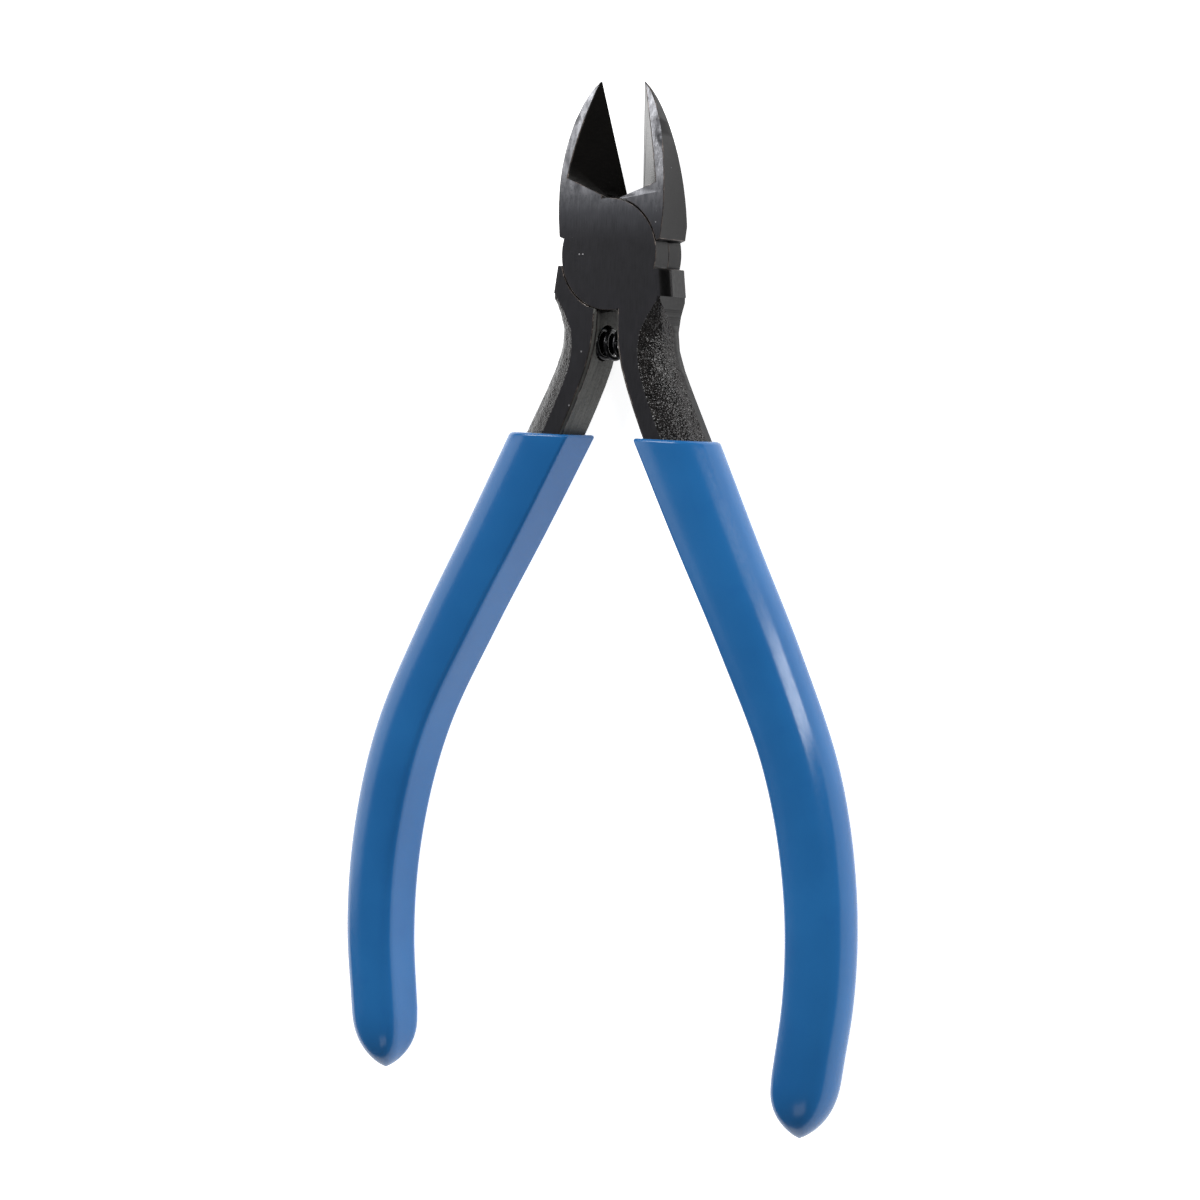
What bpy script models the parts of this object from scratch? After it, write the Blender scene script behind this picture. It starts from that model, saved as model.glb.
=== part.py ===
"""Diagonal cutting pliers with a lap joint, dipped grips and a return spring.

Frame: metres, +Z up. The tool lies flat and half open. +Y runs along the tool towards the jaw tips, +X to its
right, and +Z is the outward normal of the joint's front face. The origin is on the pivot axis, in the joint's
back face. The numbers below are millimetres.

Each half is drawn as it stands when the jaws are shut, with its cutting edge in the plane X = 0, and an empty on
the pivot axis then turns it by SPREAD into the open pose. The front half has its jaw on the left and its handle
on the right; its disc is the front layer of the joint. The back half is its mirror image with the layers swapped.
"""

import math

import bmesh
import bpy
import numpy as np
from mathutils import Matrix, Vector

MM = 0.001
NAME = "diagonal_cutting_pliers"

# Pose and joint
SPREAD = 8.1  # degrees that each half stands open from shut
HALF_T = 3.0  # half the joint's thickness, so the joint is 6 mm thick
DISC_R = 6.85  # round lap of each half
RECESS_R = 6.95  # pocket in the other half that this lap turns in
LAP_GAP = 0.06  # running gap between the two laps
DISC_STEPS = 96
EDGE_GAP = 0.012  # from each cutting edge to the plane where they meet

# Cutters
OVER = 1.0  # how far they pass the surfaces that they cut
JAW_COVER = 9.0  # more than a jaw's width

# Rivet, countersunk at both ends and ground flush
RIVET_R = 2.0
RIVET_HEAD_R = 2.5
RIVET_HEAD_H = 0.7
RIVET_CLEARANCE = 0.05
RIVET_STEPS = 48

# Jaw
TIP_Y = 21.35
JAW_SHOULDER_Y = 3.0
JAW_WIDTH = 6.95
JAW_BULGE = 1.9  # exponents of the jaw's outline
JAW_NOSE = 0.68
JAW_STEPS = 22
JAW_SPACING = 0.8  # below 1 the points lie closer together at the tip
JAW_TIP_WIDTH = 0.25
FRONT_TAPER_STEPS = 8
THROAT_Y = 7.45  # top of the slot at the jaws' root
THROAT_HALF = 0.32
FRONT_TAPER_Y = 8.0  # the front face rolls back from here
FRONT_TAPER = 1.6  # to this much below the joint face at the tip
EDGE_TIP_Z = 1.2  # height of the cutting edge at the tip, from the joint's middle
EDGE_ROOT_Z = -2.7  # and at EDGE_ROOT_Y
EDGE_ROOT_Y = 7.3
BACK_FROM_Y = -2.0  # the jaw's back has left the joint's back face by here
BACK_DRAFT = 3.3  # degrees that the jaw's back rises from the edge outwards
FLOOR_OUT = (5.15, 10.1)  # the ground bevel's floor meets the jaw's ridge here
FLOOR_IN = (0.0, 7.2)  # and the plane X = 0 here
BACK_FLOOR_DROP = 0.35  # the back half is ground this much deeper
FRONT_BEVEL_RUN = 1.05  # bevel's width over its depth, on the front half
BACK_BEVEL_RUN = 1.0

# Steps at the joint, and the shoulder under it
JAW_FOOT = (-6.3, 2.65)  # where the jaw's outer edge steps in to the disc
SHOULDER_IN = (6.3, -2.45)  # and the disc steps out to the shoulder
SHOULDER_TOP = (7.0, -2.55)
SHOULDER_LOW = (6.95, -5.95)
ROOT_IN = (0.45, -6.8)

# Tang, as stations down the open tool: y, inner face, outer edge of the front flat, outer strip
TANG = (
    (-4.3, 1.47, 7.4, 7.6),
    (-6.2, 1.45, 6.9, 7.75),
    (-8.0, 1.45, 5.5, 7.7),
    (-10.0, 1.55, 4.85, 7.85),
    (-12.0, 1.86, 4.75, 8.2),
    (-14.2, 2.45, 5.15, 9.1),
    (-17.4, 3.7, 6.4, 10.7),
    (-22.3, 5.9, 8.65, 13.2),
    (-34.0, 12.4, 15.0, 19.2),
    (-47.3, 19.6, 22.0, 26.0),
    (-60.5, 25.9, 28.1, 31.9),
    (-74.2, 29.4, 31.4, 35.0),
    (-88.3, 30.2, 31.9, 35.2),
    (-101.0, 28.6, 30.0, 32.8),
)
TANG_STEPS = 32
TANG_CHAMFER = 0.35
TANG_END_TAPER = 6.0
TANG_SPACING = 1.25  # above 1 the sections lie closer together at the top
TANG_END_NARROWING = 0.35
STRIP = (-0.4, -1.6)  # trimmed strip along the outer edge: its upper and lower border
STRIP_EASE = -4.9  # from the shoulder down to here the tang's side is as high as the shoulder
STRIP_FROM = -6.3  # the side starts to narrow to the strip here
STRIP_FULL = -9.4  # and has narrowed to it here
FLANK_BULGE = 0.4
FLANK_STEPS = 3

# Spring, bent round the pivot between two blind pockets
SPRING_Y = -11.0
POCKET_R = 2.25
POCKET_DEPTH = 2.75
POCKET_STEPS = 32
INNER_AT_SPRING = 0.1  # the handles' inner faces stand this far off the plane X = 0
WIRE_R = 0.31
COIL_R = 1.72
COIL_TURNS = 5.5
COIL_STEPS = 14
SPRING_END_GAP = 0.12

# Grip, as stations down the open tool: y, middle, half width
GRIP = (
    (-22.3, 9.65, 5.0),
    (-34.1, 15.75, 4.85),
    (-47.3, 22.8, 4.65),
    (-60.5, 28.95, 4.3),
    (-74.2, 32.2, 4.05),
    (-88.3, 32.75, 3.92),
    (-97.0, 31.75, 3.85),
    (-105.2, 30.8, 3.85),
)
GRIP_STEPS = 28
GRIP_END = 7.6  # length over which the grip rounds off to its drip point
GRIP_END_STEPS = 9
GRIP_END_FULLNESS = 2.6
GRIP_END_POINT = 0.75
GRIP_END_SPACING = 1.6  # above 1 the rings lie closer together at the end
GRIP_TIP_SIZE = 0.05
GRIP_HALF_T = 3.85
GRIP_INNER_R = 1.3
GRIP_OUTER_R = 2.9
GRIP_LIP = 0.35
GRIP_LIP_SIZE = 0.93  # the mouth's edge, as a share of the full section
CORNER_STEPS = 4
GRIP_GAP = 0.06  # sleeve to tang


def clear_scene():
    for obj in list(bpy.data.objects):
        bpy.data.objects.remove(obj, do_unlink=True)


def new_collection(name):
    collection = bpy.data.collections.new(name)
    bpy.context.scene.collection.children.link(collection)
    return collection


def material(name, colour, roughness, metallic):
    mat = bpy.data.materials.new(name)
    mat.use_nodes = True
    shader = mat.node_tree.nodes["Principled BSDF"]
    shader.inputs["Base Color"].default_value = (*colour, 1.0)
    shader.inputs["Roughness"].default_value = roughness
    shader.inputs["Metallic"].default_value = metallic
    return mat


def add_object(name, mesh, collection, mat=None):
    obj = bpy.data.objects.new(name, mesh)
    collection.objects.link(obj)
    if mat:
        mesh.materials.append(mat)
    return obj


def as_cutter(obj):
    obj.hide_render = True
    obj.display_type = "WIRE"
    return obj


def mesh_from(bm, name):
    bmesh.ops.recalc_face_normals(bm, faces=bm.faces)
    mesh = bpy.data.meshes.new(name)
    bm.to_mesh(mesh)
    bm.free()
    return mesh


def boolean(obj, other, operation="DIFFERENCE"):
    mod = obj.modifiers.new(other.name, "BOOLEAN")
    mod.operation = operation
    mod.object = other
    mod.solver = "EXACT"


def curve_through(points, column):
    """Smooth function of y through the given column of a table of stations that runs down the tool."""
    ys = np.array([p[0] for p in points])
    values = np.array([p[column] for p in points])
    slopes = np.gradient(values, ys)

    def value(y):
        k = int(np.clip(np.searchsorted(-ys, -y) - 1, 0, len(ys) - 2))
        span = ys[k + 1] - ys[k]
        t = (y - ys[k]) / span
        return float(
            values[k] * (1 + 2 * t) * (1 - t) ** 2
            + values[k + 1] * t * t * (3 - 2 * t)
            + slopes[k] * span * t * (1 - t) ** 2
            + slopes[k + 1] * span * t * t * (t - 1)
        )

    return value


def outline_prism(name, outline, low, high, collection):
    """Solid of a flat outline in XY between two heights, from a filled 2D curve."""
    curve = bpy.data.curves.new(name, "CURVE")
    curve.dimensions = "2D"
    curve.fill_mode = "BOTH"
    curve.extrude = (high - low) / 2 * MM
    spline = curve.splines.new("POLY")
    spline.points.add(len(outline) - 1)
    for point, (x, y) in zip(spline.points, outline):
        point.co = (x * MM, y * MM, 0, 1)
    spline.use_cyclic_u = True
    drawn = bpy.data.objects.new(name + "_curve", curve)
    collection.objects.link(drawn)
    bpy.context.view_layer.update()
    mesh = bpy.data.meshes.new_from_object(drawn.evaluated_get(bpy.context.evaluated_depsgraph_get()))
    bpy.data.objects.remove(drawn)
    bm = bmesh.new()
    bm.from_mesh(mesh)
    bpy.data.meshes.remove(mesh)
    bmesh.ops.remove_doubles(bm, verts=bm.verts, dist=1e-6)
    bmesh.ops.translate(bm, verts=bm.verts, vec=(0, 0, (low + high) / 2 * MM))
    return add_object(name, mesh_from(bm, name), collection)


def loft(name, rings, collection):
    """Closed solid through rings of equal point counts, with a flat face on each end."""
    bm = bmesh.new()
    loops = [[bm.verts.new(Vector(p) * MM) for p in ring] for ring in rings]
    for first, second in zip(loops, loops[1:]):
        for k in range(len(first)):
            n = (k + 1) % len(first)
            bm.faces.new((first[k], first[n], second[n], second[k]))
    bm.faces.new(loops[0])
    bm.faces.new(loops[-1])
    return add_object(name, mesh_from(bm, name), collection)


def cylinder(name, radius, low, high, steps, collection, top_radius=None):
    bm = bmesh.new()
    bmesh.ops.create_cone(
        bm,
        cap_ends=True,
        segments=steps,
        radius1=radius * MM,
        radius2=(radius if top_radius is None else top_radius) * MM,
        depth=(high - low) * MM,
    )
    bmesh.ops.translate(bm, verts=bm.verts, vec=(0, 0, (low + high) / 2 * MM))
    return add_object(name, mesh_from(bm, name), collection)


def turned(name, profile, steps, collection):
    """Turned solid about Z; the profile at +X runs down its outer side and ends on the axis."""
    mesh = bpy.data.meshes.new(name)
    verts = [(r * MM, 0, z * MM) for r, z in profile]
    mesh.from_pydata(verts, [(k, k + 1) for k in range(len(verts) - 1)], [])
    obj = add_object(name, mesh, collection)
    screw = obj.modifiers.new("turn", "SCREW")
    screw.steps = steps
    screw.render_steps = steps
    screw.use_smooth_shade = False
    screw.use_merge_vertices = True
    screw.merge_threshold = 1e-5
    return obj


def shut_from_open(x, y):
    """Point of the right handle, given where it stands on the open tool, when the tool is shut."""
    a = math.radians(SPREAD)
    return x * math.cos(a) + y * math.sin(a), -x * math.sin(a) + y * math.cos(a)


def jaw_outline():
    """Outer edge of the left jaw from the tip down to its shoulder."""
    points = []
    for k in range(JAW_STEPS + 1):
        t = math.cos(math.pi / 2 * k / JAW_STEPS) ** JAW_SPACING
        width = JAW_WIDTH * max(0.0, 1 - t**JAW_BULGE) ** JAW_NOSE
        points.append((-max(width, JAW_TIP_WIDTH), JAW_SHOULDER_Y + t * (TIP_Y - JAW_SHOULDER_Y)))
    return points


def disc_arc(start, end):
    steps = max(2, round(abs(end - start) / 360 * DISC_STEPS))
    angles = np.radians(np.linspace(start, end, steps + 1))
    return [(DISC_R * math.cos(a), DISC_R * math.sin(a)) for a in angles]


def polar_degrees(x, y):
    return math.degrees(math.atan2(y, x)) % 360


def head_outline():
    """Plan of the front half's head when shut: jaw on the left, disc, shoulder on the right."""
    slot = math.sqrt(DISC_R**2 - THROAT_HALF**2)
    left = disc_arc(polar_degrees(*JAW_FOOT), polar_degrees(ROOT_IN[0], -DISC_R))
    right = disc_arc(polar_degrees(*SHOULDER_IN), 360 + polar_degrees(-THROAT_HALF, slot))
    outline = [(-THROAT_HALF, THROAT_Y), (-EDGE_GAP, THROAT_Y), (-EDGE_GAP, TIP_Y)]
    outline += jaw_outline()
    outline += left
    outline += [ROOT_IN, SHOULDER_LOW, SHOULDER_TOP]
    outline += right
    return outline


def edge_z(y):
    slope = (EDGE_TIP_Z - EDGE_ROOT_Z) / (TIP_Y - EDGE_ROOT_Y)
    return EDGE_ROOT_Z + slope * (y - EDGE_ROOT_Y)


def front_taper_cutter(name, collection):
    """Everything above the jaw's front face, which rolls back towards the tip."""
    rings = []
    w = JAW_COVER
    high = HALF_T + OVER
    for k in range(FRONT_TAPER_STEPS + 1):
        y = FRONT_TAPER_Y + (TIP_Y + OVER - FRONT_TAPER_Y) * k / FRONT_TAPER_STEPS
        z = HALF_T - FRONT_TAPER * ((y - FRONT_TAPER_Y) / (TIP_Y - FRONT_TAPER_Y)) ** 2 + EDGE_GAP
        rings.append([(-w, y, z), (w, y, z), (w, y, high), (-w, y, high)])
    return as_cutter(loft(name, rings, collection))


def back_cutter(name, collection):
    """Everything behind the jaw's back, a flat that runs out through the cutting edge."""
    rings = []
    w = JAW_COVER
    rise = math.tan(math.radians(BACK_DRAFT)) * w
    for y in (BACK_FROM_Y, TIP_Y + OVER):
        z = edge_z(y)
        low = min(z, -HALF_T) - OVER
        rings.append([(OVER, y, z), (-w, y, z + rise), (-w, y, low), (OVER, y, low)])
    return as_cutter(loft(name, rings, collection))


def bevel_cutter(name, run, drop, collection):
    """What the grinding wheel takes out between the ridge and the cutting edge, and the disc that it spares.

    The bevel runs through the cutting edge, and the floor at its foot is square to it.
    """
    edge = Vector((0, 1, edge_z(1) - edge_z(0))).normalized()
    across = Vector((-run, 0, 1)).normalized()
    normal = edge.cross(across).normalized()
    ridge = Vector((-FLOOR_OUT[0], FLOOR_OUT[1] - drop, HALF_T))
    root = Vector((FLOOR_IN[0], FLOOR_IN[1] - drop, HALF_T))
    on_edge = Vector((0, ridge.y, edge_z(ridge.y)))
    corner = ridge - (ridge - on_edge).dot(normal) * normal
    floor = (root - ridge) - (root - ridge).dot(normal) * normal
    outer = corner - floor
    lip = corner + (THROAT_HALF - corner.x) / floor.x * floor
    above = outer + (THROAT_HALF - outer.x) / normal.x * normal
    foot = [outer, lip, above]
    top = [point + (TIP_Y + JAW_COVER) * edge for point in foot]
    wheel = as_cutter(loft(name, [foot, top], collection))
    disc = cylinder(name + "_spares_disc", DISC_R, -HALF_T - OVER, HALF_T + OVER, DISC_STEPS, collection)
    boolean(wheel, as_cutter(disc))
    return wheel, disc


def flank(x_flat, z_flat, x_strip, z_strip):
    """Swelling side of the tang, from the edge of its flat face out to the trimmed strip."""
    points = []
    bulge = FLANK_BULGE * abs(z_flat - z_strip) / HALF_T
    for k in range(FLANK_STEPS + 1):
        t = k / FLANK_STEPS
        swell = bulge * math.sin(math.pi * t)
        rise = math.copysign(swell, z_flat)
        points.append((x_flat + (x_strip - x_flat) * t + swell, z_flat + (z_strip - z_flat) * t + rise))
    return points


def strip_borders(y):
    """Heights of the trimmed strip's borders, which spread to the faces as the strip runs up into the shoulder."""
    t = min(1.0, max(0.0, (STRIP_FROM - y) / (STRIP_FROM - STRIP_FULL)))
    spread = (1 - t) ** 2
    ease = min(1.0, max(0.0, (STRIP_EASE - y) / (STRIP_EASE - STRIP_FROM)))
    edge = HALF_T - max(EDGE_GAP, TANG_CHAMFER * ease)
    return STRIP[0] + (edge - STRIP[0]) * spread, STRIP[1] - (edge + STRIP[1]) * spread


def tang_rings(grow=0.0):
    """Sections of the right handle's steel, each square to the open tool's length."""
    inner = curve_through(TANG, 1)
    flat = curve_through(TANG, 2)
    outer = curve_through(TANG, 3)
    top = TANG[0][0]
    end = TANG[-1][0] - grow
    chamfer = TANG_CHAMFER
    rings = []
    for k in range(TANG_STEPS + 1):
        y = top + (end - top) * (k / TANG_STEPS) ** TANG_SPACING
        taper = 1 - TANG_END_NARROWING * max(0.0, 1 - (y - end) / TANG_END_TAPER) ** 2
        middle = (inner(y) + outer(y)) / 2
        x_in = middle + (inner(y) - middle) * taper - grow
        x_out = middle + (outer(y) - middle) * taper + grow
        x_flat = middle + (flat(y) - middle) * taper
        t = HALF_T * taper + grow
        upper, lower = strip_borders(y)
        section = [(x_in, t - chamfer), (x_in + chamfer, t)]
        section += flank(x_flat, t, x_out, upper)
        section += reversed(flank(x_flat, -t, x_out, lower))
        section += [(x_in + chamfer, -t), (x_in, chamfer - t)]
        rings.append([(*shut_from_open(x, y), z) for x, z in section])
    return rings


def grip_ring(half_width, half_t, inner_r, outer_r):
    """Rounded section as (across, z): tighter corners on the palm's inner side than on the outer side."""
    corners = (
        (half_width - outer_r, half_t - outer_r, outer_r, 0),
        (inner_r - half_width, half_t - inner_r, inner_r, 90),
        (inner_r - half_width, inner_r - half_t, inner_r, 180),
        (half_width - outer_r, outer_r - half_t, outer_r, 270),
    )
    ring = []
    for cx, cz, radius, start in corners:
        for k in range(CORNER_STEPS + 1):
            a = math.radians(start + 90 * k / CORNER_STEPS)
            ring.append((cx + radius * math.cos(a), cz + radius * math.sin(a)))
    return ring


def grip_rings():
    middle = curve_through(GRIP, 1)
    half = curve_through(GRIP, 2)
    top = GRIP[0][0]
    end = GRIP[-1][0]
    body = end + GRIP_END
    stations = [(top, GRIP_LIP_SIZE), (top - GRIP_LIP, 1.0)]
    for k in range(1, GRIP_STEPS + 1):
        stations.append((top - GRIP_LIP + (body - top + GRIP_LIP) * k / GRIP_STEPS, 1.0))
    for k in range(1, GRIP_END_STEPS + 1):
        t = 1 - (1 - k / GRIP_END_STEPS) ** GRIP_END_SPACING
        size = max(GRIP_TIP_SIZE, (1 - t**GRIP_END_FULLNESS) ** GRIP_END_POINT)
        stations.append((body + (end - body) * t, size))
    rings = []
    for y, size in stations:
        ring = grip_ring(half(y), GRIP_HALF_T, GRIP_INNER_R, GRIP_OUTER_R)
        rings.append([(*shut_from_open(middle(y) + u * size, y), z * size) for u, z in ring])
    return rings


def mirrored(rings):
    return [[(-x, y, z) for x, y, z in ring] for ring in rings]


def mirror_mesh(obj):
    obj.data.transform(Matrix.Scale(-1, 4, (1, 0, 0)))
    obj.data.flip_normals()


def pocket_cutter(name, side, collection):
    """Blind hole for the spring, square to the handle's inner face."""
    x = side * INNER_AT_SPRING
    obj = cylinder(name, POCKET_R, -OVER, POCKET_DEPTH, POCKET_STEPS, collection)
    turn = Matrix.Rotation(math.radians(side * 90), 4, "Y")
    obj.data.transform(Matrix.Translation((x * MM, SPRING_Y * MM, 0)) @ turn)
    return as_cutter(obj)


def countersink(name, layer, collection):
    """Cone for the rivet's head, in the half's own face."""
    flare = (RIVET_HEAD_R - RIVET_R) / RIVET_HEAD_H
    rim = RIVET_HEAD_R + RIVET_CLEARANCE + flare * OVER
    tip = RIVET_R + RIVET_CLEARANCE - flare * OVER
    outside = (layer * (HALF_T + OVER), rim)
    inside = (layer * (HALF_T - RIVET_HEAD_H - OVER), tip)
    (low, low_r), (high, high_r) = sorted((outside, inside))
    return as_cutter(cylinder(name, low_r, low, high, RIVET_STEPS, collection, high_r))


def forging(name, layer, run, drop, mat, parts, cutters):
    """One steel half. layer is 1 for the front half and -1 for the back half, its mirror image."""
    obj = outline_prism(name, head_outline(), -HALF_T, HALF_T, parts)
    obj.data.materials.append(mat)
    tang = as_cutter(loft(name + "_tang", tang_rings(), cutters))
    bevel, disc = bevel_cutter(name + "_bevel", run, drop, cutters)
    tools = [
        front_taper_cutter(name + "_front_taper", cutters),
        back_cutter(name + "_jaw_back", cutters),
        bevel,
    ]
    if layer < 0:
        for piece in [obj, tang] + tools:
            mirror_mesh(piece)
    low, high = sorted((layer * LAP_GAP / 2, -layer * (HALF_T + OVER)))
    tools.append(as_cutter(cylinder(name + "_recess", RECESS_R, low, high, DISC_STEPS, cutters)))
    tools.append(pocket_cutter(name + "_pocket", layer, cutters))
    narrow = RIVET_R + RIVET_CLEARANCE
    hole = cylinder(name + "_hole", narrow, -HALF_T - OVER, HALF_T + OVER, RIVET_STEPS, cutters)
    tools.append(as_cutter(hole))
    tools.append(countersink(name + "_countersink", layer, cutters))
    boolean(obj, tang, "UNION")
    for tool in tools:
        boolean(obj, tool)
    return obj, [tang, disc] + tools


def rivet(mat, parts):
    neck = HALF_T - RIVET_HEAD_H
    profile = [(0, HALF_T), (RIVET_HEAD_R, HALF_T), (RIVET_R, neck)]
    profile += [(RIVET_R, -neck), (RIVET_HEAD_R, -HALF_T), (0, -HALF_T)]
    obj = turned("pivot_rivet", profile, RIVET_STEPS, parts)
    obj.data.materials.append(mat)
    return obj


def spring(mat, parts):
    """Coil whose axis bends round the pivot, so that both ends sit square in their pockets."""
    arm = abs(SPRING_Y)
    swing = math.radians(SPREAD)
    reach = INNER_AT_SPRING + POCKET_DEPTH - SPRING_END_GAP - WIRE_R
    count = round(COIL_TURNS * COIL_STEPS)
    points = []
    for k in range(count + 1):
        s = 2 * k / count - 1
        twist = 2 * math.pi * COIL_TURNS * k / count
        lean = s * swing
        along = s * reach
        radial = arm - COIL_R * math.cos(twist)
        x = along * math.cos(lean) + radial * math.sin(lean)
        y = along * math.sin(lean) - radial * math.cos(lean)
        points.append((x * MM, y * MM, COIL_R * math.sin(twist) * MM))
    curve = bpy.data.curves.new("return_spring", "CURVE")
    curve.dimensions = "3D"
    curve.bevel_depth = WIRE_R * MM
    curve.bevel_resolution = 2
    curve.use_fill_caps = True
    path = curve.splines.new("POLY")
    path.points.add(len(points) - 1)
    for point, co in zip(path.points, points):
        point.co = (*co, 1)
    obj = bpy.data.objects.new("return_spring", curve)
    parts.objects.link(obj)
    curve.materials.append(mat)
    return obj


def grip(name, side, mat, parts, cutters):
    """Dipped sleeve over the tang. side is 1 for the right handle."""
    outside = grip_rings()
    inside = tang_rings(GRIP_GAP)
    if side < 0:
        outside = mirrored(outside)
        inside = mirrored(inside)
    obj = loft(name, outside, parts)
    obj.data.materials.append(mat)
    core = as_cutter(loft(name + "_core", inside, cutters))
    boolean(obj, core)
    return obj, [core]


def shade_round(obj, degrees):
    if obj.type == "MESH":
        obj.data.shade_smooth()
        obj.data.set_sharp_from_angle(angle=math.radians(degrees))


def pivot_empty(name, degrees, collection):
    empty = bpy.data.objects.new(name, None)
    collection.objects.link(empty)
    empty.location = (0, 0, HALF_T * MM)
    empty.rotation_euler = (0, 0, math.radians(degrees))
    return empty


def main():
    clear_scene()
    parts = new_collection(NAME)
    cutters = new_collection("cutters")
    steel = material("blackened_steel", (0.035, 0.036, 0.04), 0.45, 0.8)
    rivet_steel = material("rivet_steel", (0.04, 0.04, 0.045), 0.4, 0.8)
    spring_steel = material("spring_steel", (0.012, 0.012, 0.013), 0.25, 0.9)
    vinyl = material("blue_vinyl", (0.015, 0.125, 0.34), 0.22, 0.0)

    front_pivot = pivot_empty("front_half_pivot", SPREAD, parts)
    back_pivot = pivot_empty("back_half_pivot", -SPREAD, parts)
    middle = pivot_empty("spring_middle", 0, parts)

    front, front_tools = forging("front_half", 1, FRONT_BEVEL_RUN, 0.0, steel, parts, cutters)
    back, back_tools = forging("back_half", -1, BACK_BEVEL_RUN, BACK_FLOOR_DROP, steel, parts, cutters)
    right, right_tools = grip("right_grip", 1, vinyl, parts, cutters)
    left, left_tools = grip("left_grip", -1, vinyl, parts, cutters)
    pin = rivet(rivet_steel, parts)
    coil = spring(spring_steel, parts)

    for piece in [front, right, pin] + front_tools + right_tools:
        piece.parent = front_pivot
    for piece in [back, left] + back_tools + left_tools:
        piece.parent = back_pivot
    coil.parent = middle
    for piece in (front, back, right, left, pin):
        shade_round(piece, 30)


main()
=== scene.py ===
"""Finished surfaces of the diagonal cutting pliers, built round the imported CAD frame.

The steel halves are the CAD solids with eased edges and rough forged flanks, and the rivet is the
CAD solid with one head spread. The dipped sleeves and the coil spring are made again with finer
surfaces. Named lengths are in millimetres, and are multiplied by MM where they are used.
"""

import math

import bmesh
import bpy
import numpy as np
from mathutils import Matrix, Vector, noise


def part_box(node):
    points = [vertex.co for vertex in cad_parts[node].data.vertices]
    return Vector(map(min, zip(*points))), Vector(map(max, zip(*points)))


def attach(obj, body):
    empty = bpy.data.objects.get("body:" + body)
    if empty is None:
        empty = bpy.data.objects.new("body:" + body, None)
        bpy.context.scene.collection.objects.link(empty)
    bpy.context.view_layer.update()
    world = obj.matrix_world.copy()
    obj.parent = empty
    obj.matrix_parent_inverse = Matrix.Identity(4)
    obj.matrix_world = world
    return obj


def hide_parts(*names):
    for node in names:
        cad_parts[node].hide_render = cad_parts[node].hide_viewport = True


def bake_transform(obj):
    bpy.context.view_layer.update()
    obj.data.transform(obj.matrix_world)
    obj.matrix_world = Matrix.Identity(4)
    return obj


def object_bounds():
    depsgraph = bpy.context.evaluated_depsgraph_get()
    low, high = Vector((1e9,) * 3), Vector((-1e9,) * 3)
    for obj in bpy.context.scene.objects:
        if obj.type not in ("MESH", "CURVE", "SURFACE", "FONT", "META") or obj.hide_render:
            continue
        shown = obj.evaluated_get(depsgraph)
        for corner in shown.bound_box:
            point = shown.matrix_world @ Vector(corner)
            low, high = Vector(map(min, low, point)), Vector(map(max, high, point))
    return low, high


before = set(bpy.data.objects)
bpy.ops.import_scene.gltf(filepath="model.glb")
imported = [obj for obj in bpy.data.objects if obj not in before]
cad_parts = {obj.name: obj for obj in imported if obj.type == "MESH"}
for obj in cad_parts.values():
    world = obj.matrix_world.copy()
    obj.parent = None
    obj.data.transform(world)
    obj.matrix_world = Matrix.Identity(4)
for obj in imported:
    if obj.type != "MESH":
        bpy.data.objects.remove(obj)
CAD_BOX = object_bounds()

MM = 0.001
JOIN_ANGLE = 0.4  # degrees: faces of the CAD meeting at less are one face
FRONT, BACK = "front_half_body", "back_half_body"
FACE_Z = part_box("front_half")[1].z  # the joint's front face
PIVOT_Z = FACE_Z / 2
FLOOR_Z = CAD_BOX[0].z
SPREAD = 8.1  # degrees that each half stands open
WELD = 0.002  # mm: closer points are one

# Camera: degrees round the tool, and millimetres
VIEW_YAW, VIEW_PITCH, VIEW_ROLL = 32.6, 3.5, 2.48
VIEW_DISTANCE = 435.0
VIEW_AIM = (-2.64, -42.39)  # from the pivot, across and up the picture
VIEW_LENS = 106.1

# Light: directions from LIT_AT and distances from it in metres, sizes in metres, power in watts
LIT_AT = Vector((0, -0.03, 0))
SOFT_LIGHTS = (
    ("top_left_softbox", (-0.5, 0.55, 0.67), 0.55, (0.3, 0.22), 2.4),
    ("left_softbox", (-0.93, 0.0, 0.3), 0.7, (0.3, 0.7), 1.3),
    ("right_strip", (0.87, 0.5, 0.38), 0.55, (0.07, 0.62), 2.5),
    ("front_fill", (0.0, -0.75, 0.66), 1.1, (0.7, 0.4), 1.2),
)
FLOOR_GLOW = 0.85
SKY = 0.1

# Steel surfaces, by face. Handles lie below HANDLE_Y and bevels above BEVEL_Y
HANDLE_Y, BEVEL_Y = -5.0, 7.0
GROUND, FLANK, BEVEL, INNER, SIDE, WORN_AND_SHEEN = range(6)
EDGE_EASE = 0.09
CUTTING_EASE = 0.15  # share of EDGE_EASE on the cutting edges
SHARP_ANGLE = 26
# Corners that aren't eased, on the shoulder's end and the jaws' root: place and reach
LEFT_SHARP = ((7.72, -4.91, 0.9), (-0.72, 6.8, 0.35))
SHORT_EDGE = 0.12
FLANK_MESH = 0.3
FLANK_ROUGH = 0.055
FLANK_PASSES = 8  # of cutting finer, and of smoothing
FLANK_UNDER = 2.0  # how far the rough skin runs on under the sleeve
RIVET_SPREAD = 0.045  # from the front head's rim to the countersink's
CUTTING_FROM_Y = 7.2
CUTTING_REACH = 0.1  # cutting edges lie nearer than this to the plane where they meet
BORE_REACH = 3.2  # edges nearer to the pivot than this belong to the rivet's bore
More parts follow.
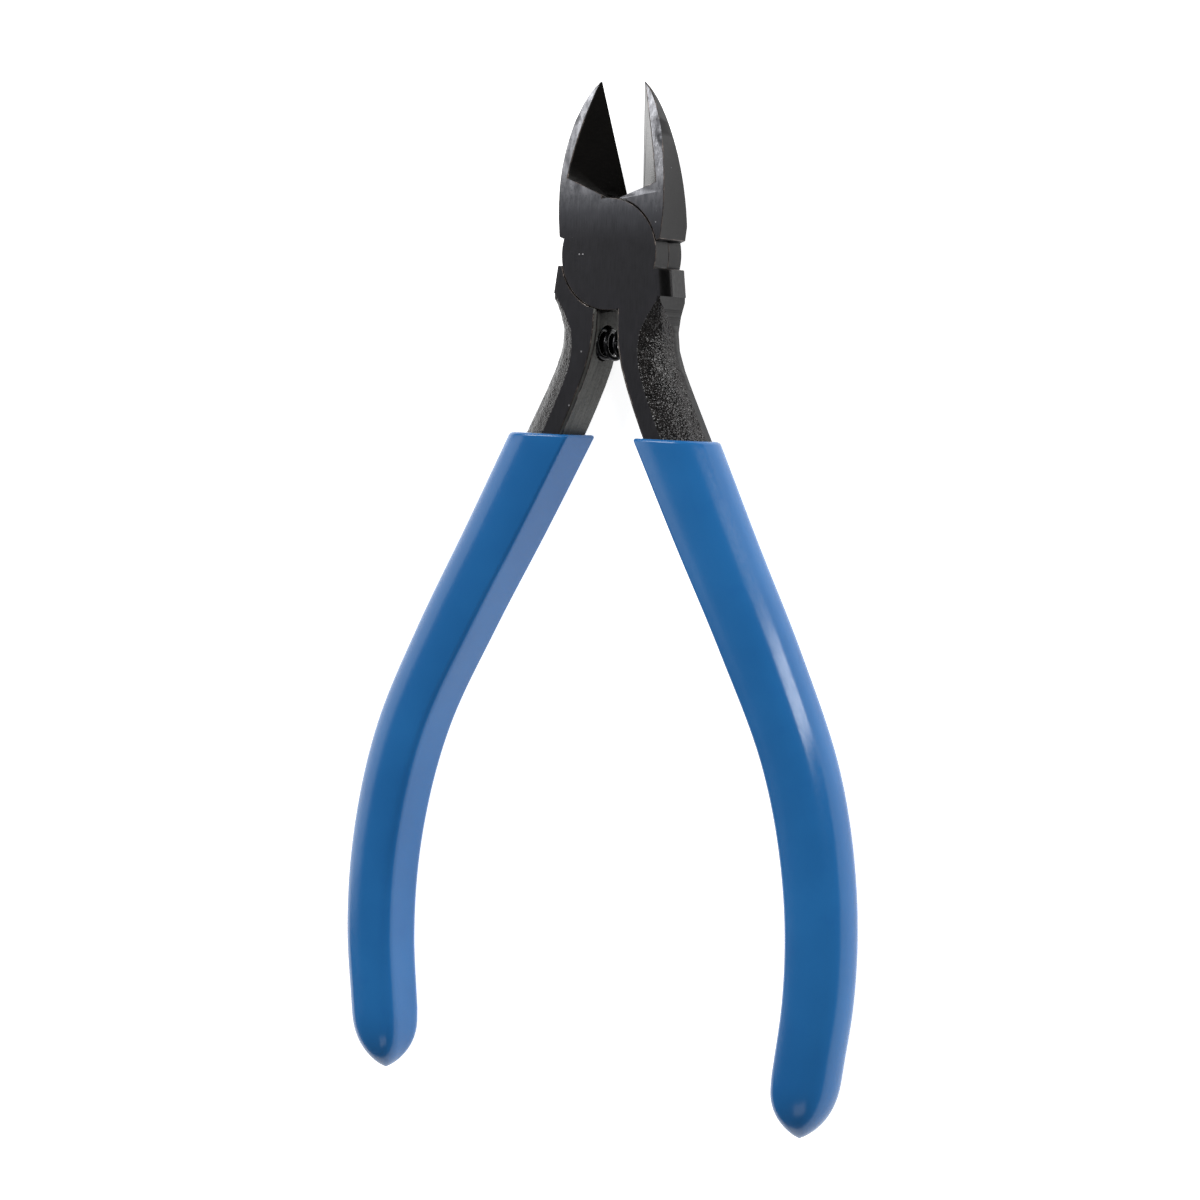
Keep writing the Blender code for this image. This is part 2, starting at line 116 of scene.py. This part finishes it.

# Blackened ground steel: darker and lighter grain, a paler pair of the same grain that is painted light up
# the joint, then blasted
JOINT_TONES = ((0.0055, 0.0055, 0.0075), (0.0115, 0.0112, 0.0145))
SHEEN_AND_BLASTED_TONES = ((0.034, 0.035, 0.041), (0.058, 0.06, 0.07), (0.06, 0.061, 0.067), (0.25, 0.252, 0.27))
SIDE_TONES = ((0.005, 0.0048, 0.005), (0.0095, 0.009, 0.0095))
JOINT_SHEEN_FADE = (1.0, 8.0)  # heights between which the joint turns paler: painted light, a sheen brightening towards the jaws
JAW_FADE = (4.5, 10.5)  # and turns to blasted steel
WORN_LINE = (-3.6, -0.1)  # a line of bright specks on the joint's face: middle, and half size
WORN_LINE_SIZE = (1.9, 0.1)

# Sleeves
MOUTH_R = 0.4
SLEEVE_RING = 0.9  # distance between rings
END_LENGTH = 7.6
END_RINGS = 16
END_FULLNESS = 2.6
END_POINT = 0.75
END_SPACING = 1.7  # above 1 the rings lie closer together at the end
END_TIP_SIZE = 0.03
MOUTH_RINGS = 4
INNER_CORNER = (0.5, 1.9)  # radius at the mouth and at the end
OUTER_FULLNESS = 2.25  # 2 is an ellipse
CROWN = 0.55  # how far the front falls from the middle to the inner corner
CORE_GAP = 0.03
CORE_OVER = 3.0  # how far the core stands out of the mouth
OUTER_SEGMENTS = 26
CROWN_SEGMENTS = 6
CORNER_SEGMENTS = 6
SIDE_SEGMENTS = 5

# Spring
WIRE_R = 0.31
COIL_TURNS = 5.5
COIL_STEPS = 40
WIRE_SIDES = 14


def lookup(ys, values):
    """Smooth function of y through values at falling ys, straight beyond its ends."""
    ys = np.asarray(ys)
    values = np.asarray(values)
    slopes = np.gradient(values, ys)

    def value(y):
        if y > ys[0]:
            return float(values[0] + slopes[0] * (y - ys[0]))
        if y < ys[-1]:
            return float(values[-1] + slopes[-1] * (y - ys[-1]))
        k = int(np.clip(np.searchsorted(-ys, -y) - 1, 0, len(ys) - 2))
        span = ys[k + 1] - ys[k]
        t = (y - ys[k]) / span
        return float(
            values[k] * (1 + 2 * t) * (1 - t) ** 2
            + values[k + 1] * t * t * (3 - 2 * t)
            + slopes[k] * span * t * (1 - t) ** 2
            + slopes[k + 1] * span * t * t * (t - 1)
        )

    return value


def add_mesh(name, bm, materials):
    mesh = bpy.data.meshes.new(name)
    bm.to_mesh(mesh)
    bm.free()
    for mat in materials:
        mesh.materials.append(mat)
    obj = bpy.data.objects.new(name, mesh)
    bpy.context.scene.collection.objects.link(obj)
    return obj


def apply_modifiers(obj):
    bpy.context.view_layer.update()
    shaped = obj.evaluated_get(bpy.context.evaluated_depsgraph_get())
    mesh = bpy.data.meshes.new_from_object(shaped)
    obj.modifiers.clear()
    obj.data = mesh
    return obj


def cad_shape(node, whole_faces=True):
    """The node's shape with its doubled points joined and, if asked, its flat faces in one piece each."""
    bm = bmesh.new()
    bm.from_mesh(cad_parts[node].data)
    for face in bm.faces:
        face.material_index = 0
    bmesh.ops.remove_doubles(bm, verts=bm.verts, dist=WELD * MM)
    if whole_faces:
        bmesh.ops.dissolve_limit(bm, angle_limit=math.radians(JOIN_ANGLE), verts=bm.verts, edges=bm.edges)
    return bm


# ---------------------------------------------------------------- materials


class Shader:
    """A material's node tree, with short calls to add its nodes."""

    def __init__(self, name, roughness, metallic=0.0, **sockets):
        self.material = bpy.data.materials.new(name)
        self.material.use_nodes = True
        self.tree = self.material.node_tree
        self.main = self.tree.nodes["Principled BSDF"]
        self.main.inputs["Roughness"].default_value = roughness
        self.main.inputs["Metallic"].default_value = metallic
        for socket, value in sockets.items():
            self.main.inputs[socket.replace("_", " ")].default_value = value
        self.place = self.tree.nodes.new("ShaderNodeTexCoord").outputs["Object"]

    def node(self, kind, links=(), **settings):
        node = self.tree.nodes.new("ShaderNode" + kind)
        for key, value in settings.items():
            setattr(node, key, value)
        for socket, source in dict(links).items():
            if isinstance(source, bpy.types.NodeSocket):
                self.tree.links.new(source, node.inputs[socket])
            else:
                node.inputs[socket].default_value = source
        return node

    def stretched(self, scale, turn=0.0):
        links = {"Vector": self.place, "Scale": scale, "Rotation": (0, 0, math.radians(turn))}
        return self.node("Mapping", links).outputs["Vector"]

    def noise(self, scale, detail=3.0, where=None, roughness=0.55):
        links = {"Vector": where or self.place, "Scale": scale, "Detail": detail, "Roughness": roughness}
        return self.node("TexNoise", links).outputs["Fac"]

    def cells(self, scale, where=None, output="Distance"):
        return self.node("TexVoronoi", {"Vector": where or self.place, "Scale": scale}).outputs[output]

    def ramp(self, value, *stops):
        """Colour or grey between (place, level) stops."""
        node = self.node("ValToRGB", {"Fac": value})
        elements = node.color_ramp.elements
        while len(elements) < len(stops):
            elements.new(0.5)
        for element, (at, level) in zip(elements, stops):
            element.position = at
            element.color = (*level, 1) if isinstance(level, tuple) else (level, level, level, 1)
        return node.outputs["Color"]

    def math(self, operation, first, second=0.0):
        return self.node("Math", {0: first, 1: second}, operation=operation).outputs[0]

    def mix(self, factor, first, second, blend="MIX"):
        node = self.tree.nodes.new("ShaderNodeMix")
        node.data_type = "RGBA"
        node.blend_type = blend
        for socket, source in ((0, factor), (6, first), (7, second)):
            if isinstance(source, bpy.types.NodeSocket):
                self.tree.links.new(source, node.inputs[socket])
            elif socket == 0:
                node.inputs[socket].default_value = source
            else:
                node.inputs[socket].default_value = (*source, 1)
        return node.outputs[2]

    def near(self, middle, size):
        """1 within a box of half size round a middle, both (x, y) in millimetres."""
        split = self.node("SeparateXYZ", {"Vector": self.place})
        hits = []
        for axis, at, reach in zip("XY", middle, size):
            test = {0: split.outputs[axis], 1: at * MM, 2: reach * MM}
            hits.append(self.node("Math", test, operation="COMPARE").outputs[0])
        return self.math("MULTIPLY", *hits)

    def height(self, *layers):
        """Bumps from (height, strength, distance in mm) layers, finest last."""
        normal = None
        for value, strength, distance in layers:
            links = {"Height": value, "Strength": strength, "Distance": distance * MM}
            if normal:
                links["Normal"] = normal
            normal = self.node("Bump", links).outputs["Normal"]
        self.tree.links.new(normal, self.main.inputs["Normal"])

    def feed(self, socket, source):
        self.tree.links.new(source, self.main.inputs[socket])


def axis_value(shader, axis):
    split = shader.node("SeparateXYZ", {"Vector": shader.place})
    return split.outputs[axis]


def between(shader, value, low, high):
    """0 below low, 1 above high, for a value in metres."""
    links = {"Value": value, "From Min": low, "From Max": high}
    return shader.node("MapRange", links, interpolation_type="SMOOTHSTEP").outputs["Result"]


def specks(shader, scale, share, size):
    """1 on a few small dots: share of the cells that have one, and the dot's size in cells."""
    cells = shader.node("TexVoronoi", {"Vector": shader.place, "Scale": scale})
    chosen = shader.math("GREATER_THAN", cells.outputs["Color"], 1 - share)
    near = shader.math("LESS_THAN", cells.outputs["Distance"], size)
    return shader.math("MULTIPLY", chosen, near)


def ground_steel(name, tones, sheen_and_blasted_tones=None):
    """Blackened faces ground along the tool: fine grain, faint clouds, a few bright specks and a worn line.

    With jaw tones given, the faces turn paler up the joint, which is painted light, and blasted, pitted and
    streaked on the jaws.
    """
    s = Shader(name, 0.4, 0.55)
    grain = s.noise(1.0, 4.0, s.stretched((9000, 420, 9000)), 0.65)
    cloud = s.noise(260, 3.0)
    dark, light = tones
    colour = s.ramp(grain, (0.32, dark), (0.7, light))
    colour = s.mix(s.ramp(cloud, (0.35, 0.0), (0.75, 0.35)), colour, tuple(1.5 * c for c in light))
    layers = [(cloud, 0.05, 0.2), (grain, 0.12, 0.03)]
    if sheen_and_blasted_tones:
        y = axis_value(s, "Y")
        # painted sheen: the grain is painted paler up the joint, standing in for light reflected there
        rise = between(s, y, *(v * MM for v in JOINT_SHEEN_FADE))
        colour = s.mix(rise, colour, s.ramp(grain, (0.3, sheen_and_blasted_tones[0]), (0.7, sheen_and_blasted_tones[1])))
        coarse = s.noise(1300, 3.0, s.stretched((1, 0.4, 1), -28))
        pits = s.cells(2600)
        blasted = s.ramp(coarse, (0.3, sheen_and_blasted_tones[2]), (0.7, sheen_and_blasted_tones[3]))
        blasted = s.mix(s.ramp(pits, (0.1, 0.5), (0.35, 0.0)), blasted, sheen_and_blasted_tones[0])
        jaw = between(s, y, *(v * MM for v in JAW_FADE))
        colour = s.mix(jaw, colour, blasted)
        layers.append((s.math("MULTIPLY", coarse, jaw), 0.7, 0.12))
    colour = s.mix(specks(s, 1500, 0.09, 0.17), colour, (0.2, 0.2, 0.21))
    line = s.near(WORN_LINE, WORN_LINE_SIZE)
    colour = s.mix(s.math("MULTIPLY", line, specks(s, 2600, 0.4, 0.28)), colour, (0.3, 0.3, 0.31))
    s.feed("Base Color", colour)
    s.feed("Roughness", s.ramp(grain, (0.3, 0.34), (0.75, 0.5)))
    s.height(*layers)
    return s.material


def forged_steel():
    """Flanks as they left the forge, blasted and blackened: glossy black grains that glint."""
    s = Shader("forged_steel", 0.22, 0.2, Specular_IOR_Level=0.45)
    lumps = s.noise(1500, 2.0)
    grains = s.node("TexVoronoi", {"Vector": s.place, "Scale": 4000, "Smoothness": 0.5}, feature="SMOOTH_F1")
    fine = s.noise(6000, 2.0)
    colour = s.ramp(lumps, (0.35, (0.0035, 0.003, 0.003)), (0.7, (0.016, 0.014, 0.0135)))
    colour = s.mix(s.ramp(fine, (0.64, 0.0), (0.76, 0.7)), colour, (0.12, 0.12, 0.125))
    s.feed("Base Color", colour)
    s.feed("Roughness", s.ramp(fine, (0.3, 0.16), (0.7, 0.32)))
    s.height((lumps, 0.7, 0.14), (grains.outputs["Distance"], 0.9, 0.1), (fine, 0.25, 0.03))
    return s.material


def bevel_steel():
    """Smooth dark bevels of the jaws, with a faint brown temper colour and cross scratches."""
    s = Shader("bevel_steel", 0.3, 0.5)
    scratch = s.noise(1.0, 3.0, s.stretched((1400, 9000, 1400), 20), 0.6)
    cloud = s.noise(420, 3.0)
    colour = s.ramp(scratch, (0.3, (0.004, 0.0035, 0.003)), (0.75, (0.0065, 0.0058, 0.005)))
    colour = s.mix(s.ramp(cloud, (0.45, 0.0), (0.75, 0.35)), colour, (0.011, 0.009, 0.0075))
    colour = s.mix(specks(s, 1100, 0.05, 0.12), colour, (0.09, 0.085, 0.075))
    s.feed("Base Color", colour)
    s.feed("Roughness", s.ramp(scratch, (0.3, 0.17), (0.75, 0.25)))
    s.height((scratch, 0.03, 0.03))
    return s.material


def inner_steel():
    """Inner sides of the handles: matte, faintly olive, with lengthwise milling stripes."""
    s = Shader("inner_steel", 0.6, 0.25)
    stripes = s.noise(1.0, 2.0, s.stretched((500, 180, 2600)), 0.5)
    fine = s.noise(3800, 3.0)
    colour = s.ramp(stripes, (0.3, (0.038, 0.038, 0.034)), (0.7, (0.085, 0.085, 0.078)))
    colour = s.mix(s.ramp(fine, (0.5, 0.0), (0.8, 0.4)), colour, (0.02, 0.02, 0.018))
    s.feed("Base Color", colour)
    s.feed("Roughness", s.ramp(fine, (0.3, 0.5), (0.7, 0.7)))
    s.height((stripes, 0.12, 0.05), (fine, 0.2, 0.03))
    return s.material


def worn_and_sheen_steel():
    """Eased edges with brown and bright patches: partly wear where the black has rubbed through, partly a
    painted edge highlight.
    """
    s = Shader("worn_and_sheen_edge_steel", 0.35, 0.8)
    patches = s.noise(900, 4.0, None, 0.7)
    fine = s.noise(5000, 2.0)
    black, brown, bright = (0.03, 0.029, 0.03), (0.085, 0.068, 0.06), (0.3, 0.28, 0.27)
    # the brown and bright patches are partly rubbed-through wear and partly a painted edge highlight
    colour = s.ramp(patches, (0.42, black), (0.58, brown), (0.72, bright))
    s.feed("Base Color", colour)
    s.feed("Roughness", s.ramp(fine, (0.3, 0.28), (0.7, 0.45)))
    s.height((fine, 0.2, 0.02))
    return s.material


def wire_steel():
    """Glossy black spring wire with fine drawing lines."""
    s = Shader("spring_wire", 0.2, 0.7)
    cloud = s.noise(1600, 3.0)
    fine = s.noise(6000, 2.0)
    s.feed("Base Color", s.ramp(cloud, (0.35, (0.006, 0.006, 0.007)), (0.75, (0.022, 0.022, 0.024))))
    s.feed("Roughness", s.ramp(fine, (0.3, 0.14), (0.7, 0.28)))
    s.height((fine, 0.08, 0.02))
    return s.material


def vinyl():
    """Dipped vinyl: deep glossy blue, slightly uneven, with a few specks of dust under the skin."""
    s = Shader("blue_vinyl", 0.2, 0.0, IOR=1.5, Specular_IOR_Level=0.36)
    cloud = s.noise(70, 2.0)
    skin = s.noise(420, 2.0)
    fine = s.noise(2600, 2.0)
    colour = s.ramp(cloud, (0.3, (0.0125, 0.112, 0.315)), (0.72, (0.017, 0.138, 0.372)))
    colour = s.mix(s.ramp(skin, (0.55, 0.0), (0.85, 0.25)), colour, (0.012, 0.105, 0.33))
    colour = s.mix(specks(s, 420, 0.04, 0.05), colour, (0.2, 0.42, 0.66))
    s.feed("Base Color", colour)
    s.feed("Roughness", s.ramp(fine, (0.3, 0.16), (0.75, 0.25)))
    s.height((skin, 0.08, 0.12), (fine, 0.03, 0.03))
    return s.material


def floor_paper():
    """White paper, lit from behind as a light table is."""
    s = Shader("pale_floor", 0.8)
    paper = s.ramp(s.noise(40, 2.0), (0.3, 0.86), (0.7, 0.89))
    s.feed("Base Color", paper)
    s.main.inputs["Emission Color"].default_value = (1, 1, 1, 1)
    s.main.inputs["Emission Strength"].default_value = FLOOR_GLOW
    return s.material


# ---------------------------------------------------------------- steel halves


def surface_of(centre, normal, side):
    """Which steel surface a face belongs to. side is 1 for the half whose handle is on +X."""
    out = side * normal.x
    level = abs(normal.z)
    if centre.y < HANDLE_Y * MM:
        if level > 0.97:
            return GROUND
        if out < -0.3:
            return INNER
        if level < 0.13:
            return SIDE
        return FLANK
    if centre.y > BEVEL_Y * MM and 0.4 < normal.z < 0.92 and out > 0.3:
        return BEVEL
    return SIDE if level < 0.3 else GROUND


def roughen_flank(bm, shown_from):
    """Cuts the shown part of the flanks fine, rounds them and gives them the forge's uneven skin."""

    def shown():
        return [f for f in bm.faces if f.material_index == FLANK and f.calc_center_median().y > shown_from]

    for _ in range(FLANK_PASSES):
        bmesh.ops.triangulate(bm, faces=shown())
        long = {e for f in shown() for e in f.edges if e.calc_length() > FLANK_MESH * MM}
        if not long:
            break
        bmesh.ops.subdivide_edges(bm, edges=sorted(long, key=lambda e: e.index), cuts=1)
    bmesh.ops.triangulate(bm, faces=shown())
    faces = set(shown())
    inside = [v for v in bm.verts if v.link_faces and all(f in faces for f in v.link_faces)]
    for _ in range(FLANK_PASSES):
        bmesh.ops.smooth_vert(bm, verts=inside, factor=0.5, use_axis_x=True, use_axis_y=True, use_axis_z=True)
    bm.normal_update()
    for vert in inside:
        lumps = noise.noise(vert.co * 900) + 0.8 * noise.noise(vert.co * 2300)
        vert.co += vert.normal * lumps * FLANK_ROUGH * MM


def mark_edges(bm, side):
    """Weights of the edges that are eased.

    The cutting edge stays keen. The rivet's bore and the ends of edges too short to ease are left alone.
    """
    weight = bm.edges.layers.float.new("bevel_weight_edge")
    shut = Matrix.Rotation(math.radians(-side * SPREAD), 4, "Z")
    short = {v for e in bm.edges if e.calc_length() < SHORT_EDGE * MM for v in e.verts}
    for edge in bm.edges:
        if len(edge.link_faces) != 2:
            continue
        surfaces = {f.material_index for f in edge.link_faces}
        middle = (edge.verts[0].co + edge.verts[1].co) / 2
        if FLANK in surfaces or middle.xy.length < BORE_REACH * MM or short.intersection(edge.verts):
            continue
        spots = [Vector((side * v.co.x, v.co.y)) / MM for v in edge.verts]
        if any((spot - Vector((x, y))).length < reach for spot in spots for x, y, reach in LEFT_SHARP):
            continue
        if edge.calc_face_angle(0) < math.radians(SHARP_ANGLE):
            continue
        cutting = middle.y > CUTTING_FROM_Y * MM and abs((shut @ middle).x) < CUTTING_REACH * MM
        edge[weight] = CUTTING_EASE if cutting else 1.0


def steel_half(name, node, body, side, materials, sleeve):
    bm = cad_shape(node)
    for face in bm.faces:
        face.material_index = surface_of(face.calc_center_median(), face.normal, side)
        face.smooth = True
    roughen_flank(bm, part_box(sleeve)[1].y - FLANK_UNDER * MM)
    mark_edges(bm, side)
    obj = add_mesh(name, bm, materials)
    for polygon in obj.data.polygons:
        polygon.use_smooth = True
    ease = obj.modifiers.new("eased_edges", "BEVEL")
    ease.limit_method = "WEIGHT"
    ease.width = EDGE_EASE * MM
    ease.segments = 2
    ease.use_clamp_overlap = False
    # the eased edges take the worn edge steel, which also paints an edge highlight
    ease.material = WORN_AND_SHEEN
    flat = obj.modifiers.new("flat_faces", "WEIGHTED_NORMAL")
    flat.keep_sharp = True
    flat.weight = 80
    apply_modifiers(obj)
    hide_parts(node)
    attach(obj, body)
    return obj


def flush_rivet(material):
    """The rivet, whose front head is spread until it fills its countersink. The back half turns round it."""
    bm = cad_shape("pivot_rivet")
    low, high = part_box("pivot_rivet")
    spread = 1 + RIVET_SPREAD * MM / ((high.x - low.x) / 2)
    head = [v for v in bm.verts if v.co.z > PIVOT_Z]
    bmesh.ops.scale(bm, vec=(spread, spread, 1), verts=head)
    obj = add_mesh("rivet", bm, [material])
    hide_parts("pivot_rivet")
    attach(obj, FRONT)
    return obj


# ---------------------------------------------------------------- spring


def helix_point(turn, reach, coil_r, arm, height):
    """Centre of the wire at turn, from 0 to COIL_TURNS, on an axis that bends round the pivot."""
    s = 2 * turn / COIL_TURNS - 1
    lean = s * math.radians(SPREAD)
    twist = 2 * math.pi * turn
    radial = arm - coil_r * math.cos(twist)
    along = s * reach
    x = along * math.cos(lean) + radial * math.sin(lean)
    y = along * math.sin(lean) - radial * math.cos(lean)
    return Vector((x, y, height + coil_r * math.sin(twist)))


def coil_spring(material):
    low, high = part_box("return_spring")
    coil_r = (high.z - low.z) / 2 - WIRE_R * MM
    arm = -(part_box("return_spring")[0].y + coil_r + WIRE_R * MM)
    reach = (high.x - low.x) / 2 - WIRE_R * MM
    lean = math.radians(SPREAD)
    reach = (reach - (arm + coil_r) * math.sin(lean)) / math.cos(lean)
    count = round(COIL_TURNS * COIL_STEPS)
    points = [helix_point(COIL_TURNS * k / count, reach, coil_r, arm, PIVOT_Z) for k in range(count + 1)]
    curve = bpy.data.curves.new("spring", "CURVE")
    curve.dimensions = "3D"
    curve.bevel_depth = WIRE_R * MM
    curve.bevel_resolution = (WIRE_SIDES - 4) // 2
    curve.use_fill_caps = True
    path = curve.splines.new("POLY")
    path.points.add(count)
    for point, co in zip(path.points, points):
        point.co = (*co, 1)
    drawn = bpy.data.objects.new("spring_path", curve)
    bpy.context.scene.collection.objects.link(drawn)
    bpy.context.view_layer.update()
    mesh = bpy.data.meshes.new_from_object(drawn.evaluated_get(bpy.context.evaluated_depsgraph_get()))
    bpy.data.objects.remove(drawn)
    bm = bmesh.new()
    bm.from_mesh(mesh)
    bmesh.ops.remove_doubles(bm, verts=bm.verts, dist=WELD * MM)
    obj = add_mesh("spring", bm, [material])
    obj.data.shade_smooth()
    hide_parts("return_spring")
    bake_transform(obj)
    return obj


# ---------------------------------------------------------------- sleeves


def sleeve_line(node):
    """Middle and half width of the CAD sleeve along y, from the mouth to where its end rounds off."""
    low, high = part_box(node)
    thick = (high.z - low.z) / 2
    rows = {}
    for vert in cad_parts[node].data.vertices:
        rows.setdefault(round(vert.co.y / (0.02 * MM)), []).append(vert.co)
    ys, middles, halves = [], [], []
    for row in sorted(rows, reverse=True):
        points = rows[row]
        if max(abs(p.z - PIVOT_Z) for p in points) < 0.995 * thick:
            continue
        left = min(p.x for p in points)
        right = max(p.x for p in points)
        ys.append(sum(p.y for p in points) / len(points))
        middles.append((left + right) / 2)
        halves.append((right - left) / 2)
    return lookup(ys, middles), lookup(ys, halves)


def section(half, thick, corner, crown, side):
    """Closed ring of (across, up) points: a rounded outer side, crowned faces and a flat inner side."""
    power = 2 / OUTER_FULLNESS
    ring = []
    for k in range(OUTER_SEGMENTS + 1):
        a = math.pi * (k / OUTER_SEGMENTS - 0.5)
        rise = math.copysign(abs(math.sin(a)) ** power, a)
        ring.append((half * max(0.0, math.cos(a)) ** power, thick * rise))
    lean = math.atan(2 * crown * (half - corner) / half**2)
    join = half - corner * (1 - math.sin(lean))
    centre = thick - crown * (join / half) ** 2 - corner * math.cos(lean)
    front = [(-join * k / CROWN_SEGMENTS, thick - crown * (join / half * k / CROWN_SEGMENTS) ** 2)
             for k in range(1, CROWN_SEGMENTS + 1)]
    for k in range(1, CORNER_SEGMENTS + 1):
        a = math.pi / 2 + lean + (math.pi / 2 - lean) * k / CORNER_SEGMENTS
        front.append((corner - half + corner * math.cos(a), centre + corner * math.sin(a)))
    flat = [(-half, centre * (1 - 2 * k / SIDE_SEGMENTS)) for k in range(1, SIDE_SEGMENTS)]
    ring += front + flat + [(u, -z) for u, z in reversed(front)]
    return [(side * u, z) for u, z in ring]


def loft(rings):
    bm = bmesh.new()
    loops = [[bm.verts.new(p) for p in ring] for ring in rings]
    for first, second in zip(loops, loops[1:]):
        for k in range(len(first)):
            n = (k + 1) % len(first)
            bm.faces.new((first[k], first[n], second[n], second[k]))
    bm.faces.new(loops[0])
    bm.faces.new(loops[-1])
    bmesh.ops.recalc_face_normals(bm, faces=bm.faces)
    return bm


def sleeve(name, node, half_node, body, side, material):
    low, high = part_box(node)
    thick = (high.z - low.z) / 2
    middle, half = sleeve_line(node)
    top, end = high.y, low.y
    lip = MOUTH_R * MM
    body_end = end + END_LENGTH * MM
    stations = []
    for k in range(MOUTH_RINGS):
        a = math.pi / 2 * k / MOUTH_RINGS
        stations.append((top - lip * (1 - math.cos(a)), lip * (1 - math.sin(a))))
    count = round((top - lip - body_end) / (SLEEVE_RING * MM))
    stations += [(top - lip - (top - lip - body_end) * k / count, 0.0) for k in range(count + 1)]
    rings = []
    for y, inset in stations:
        t = (top - y) / (top - end)
        corner = (INNER_CORNER[0] + (INNER_CORNER[1] - INNER_CORNER[0]) * t) * MM
        ring = section(half(y) - inset, thick - inset, corner, CROWN * MM, side)
        rings.append([Vector((middle(y) + u, y, PIVOT_Z + z)) for u, z in ring])
    for k in range(1, END_RINGS + 1):
        t = 1 - (1 - k / END_RINGS) ** END_SPACING
        size = max(END_TIP_SIZE, (1 - t**END_FULLNESS) ** END_POINT)
        y = body_end + (end - body_end) * t
        wide = half(y)
        corner = INNER_CORNER[1] * MM + (min(wide, thick) - INNER_CORNER[1] * MM) * (1 - size)
        ring = section(wide, thick, corner, CROWN * MM * size, side)
        rings.append([Vector((middle(y) + u * size, y, PIVOT_Z + z * size)) for u, z in ring])
    obj = add_mesh(name, loft(rings), [material])
    obj.data.shade_smooth()
    core = tang_core(half_node, top + CORE_OVER * MM)
    cut = obj.modifiers.new("tang", "BOOLEAN")
    cut.object = core
    cut.solver = "EXACT"
    flat = obj.modifiers.new("normals", "WEIGHTED_NORMAL")
    flat.keep_sharp = True
    apply_modifiers(obj)
    bpy.data.objects.remove(core)
    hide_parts(node)
    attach(obj, body)
    return obj


def tang_core(half_node, below):
    """The part of a steel half below a height, swollen by the gap between steel and sleeve."""
    bm = cad_shape(half_node, whole_faces=False)
    parts = bm.verts[:] + bm.edges[:] + bm.faces[:]
    cut = bmesh.ops.bisect_plane(bm, geom=parts, plane_co=(0, below, 0), plane_no=(0, 1, 0), clear_outer=True)
    rim = [e for e in cut["geom_cut"] if isinstance(e, bmesh.types.BMEdge)]
    bmesh.ops.contextual_create(bm, geom=rim)
    bm.normal_update()
    moves = [v.normal * v.calc_shell_factor() * CORE_GAP * MM for v in bm.verts]
    for vert, move in zip(bm.verts, moves):
        vert.co += move
    return add_mesh(half_node + "_core", bm, [])


# ---------------------------------------------------------------- stage


def soft_light(name, place, aim, size, power):
    lamp = bpy.data.lights.new(name, "AREA")
    lamp.shape = "RECTANGLE"
    lamp.size, lamp.size_y = size
    lamp.energy = power
    obj = bpy.data.objects.new(name, lamp)
    bpy.context.scene.collection.objects.link(obj)
    obj.location = place
    obj.rotation_euler = (aim - place).to_track_quat("-Z", "Y").to_euler()


def add_stage():
    bm = bmesh.new()
    bmesh.ops.create_grid(bm, x_segments=2, y_segments=2, size=3.0)
    floor = add_mesh("floor", bm, [floor_paper()])
    floor.location = (0, 0, FLOOR_Z)
    world = bpy.data.worlds.new("studio")
    world.use_nodes = True
    sky = world.node_tree.nodes["Background"]
    sky.inputs["Color"].default_value = (1.0, 1.0, 1.0, 1)
    sky.inputs["Strength"].default_value = SKY
    bpy.context.scene.world = world
    for name, toward, distance, size, power in SOFT_LIGHTS:
        soft_light(name, LIT_AT + distance * Vector(toward), LIT_AT, size, power)


def add_camera():
    yaw, pitch, roll = (math.radians(a) for a in (VIEW_YAW, VIEW_PITCH, VIEW_ROLL))
    turn = Matrix.Rotation(yaw, 3, "Y") @ Matrix.Rotation(-pitch, 3, "X") @ Matrix.Rotation(roll, 3, "Z")
    lens = bpy.data.cameras.new("camera")
    lens.sensor_width = 36
    lens.lens = VIEW_LENS
    lens.clip_start = 0.01
    camera = bpy.data.objects.new("camera", lens)
    bpy.context.scene.collection.objects.link(camera)
    place = turn @ Vector((*VIEW_AIM, VIEW_DISTANCE)) * MM
    camera.matrix_world = Matrix.Translation(place + Vector((0, 0, PIVOT_Z))) @ turn.to_4x4()
    bpy.context.scene.camera = camera


def main():
    add_camera()
    add_stage()
    bpy.context.scene.view_settings.view_transform = "Standard"
    ground = ground_steel("ground_steel", JOINT_TONES, SHEEN_AND_BLASTED_TONES)
    side = ground_steel("side_steel", SIDE_TONES)
    steels = [ground, forged_steel(), bevel_steel(), inner_steel(), side, worn_and_sheen_steel()]
    steel_half("front_jaw_and_handle", "front_half", FRONT, 1, steels, "right_grip")
    steel_half("back_jaw_and_handle", "back_half", BACK, -1, steels, "left_grip")
    flush_rivet(ground)
    coil_spring(wire_steel())
    blue = vinyl()
    sleeve("right_sleeve", "right_grip", "front_half", FRONT, 1, blue)
    sleeve("left_sleeve", "left_grip", "back_half", BACK, -1, blue)


main()
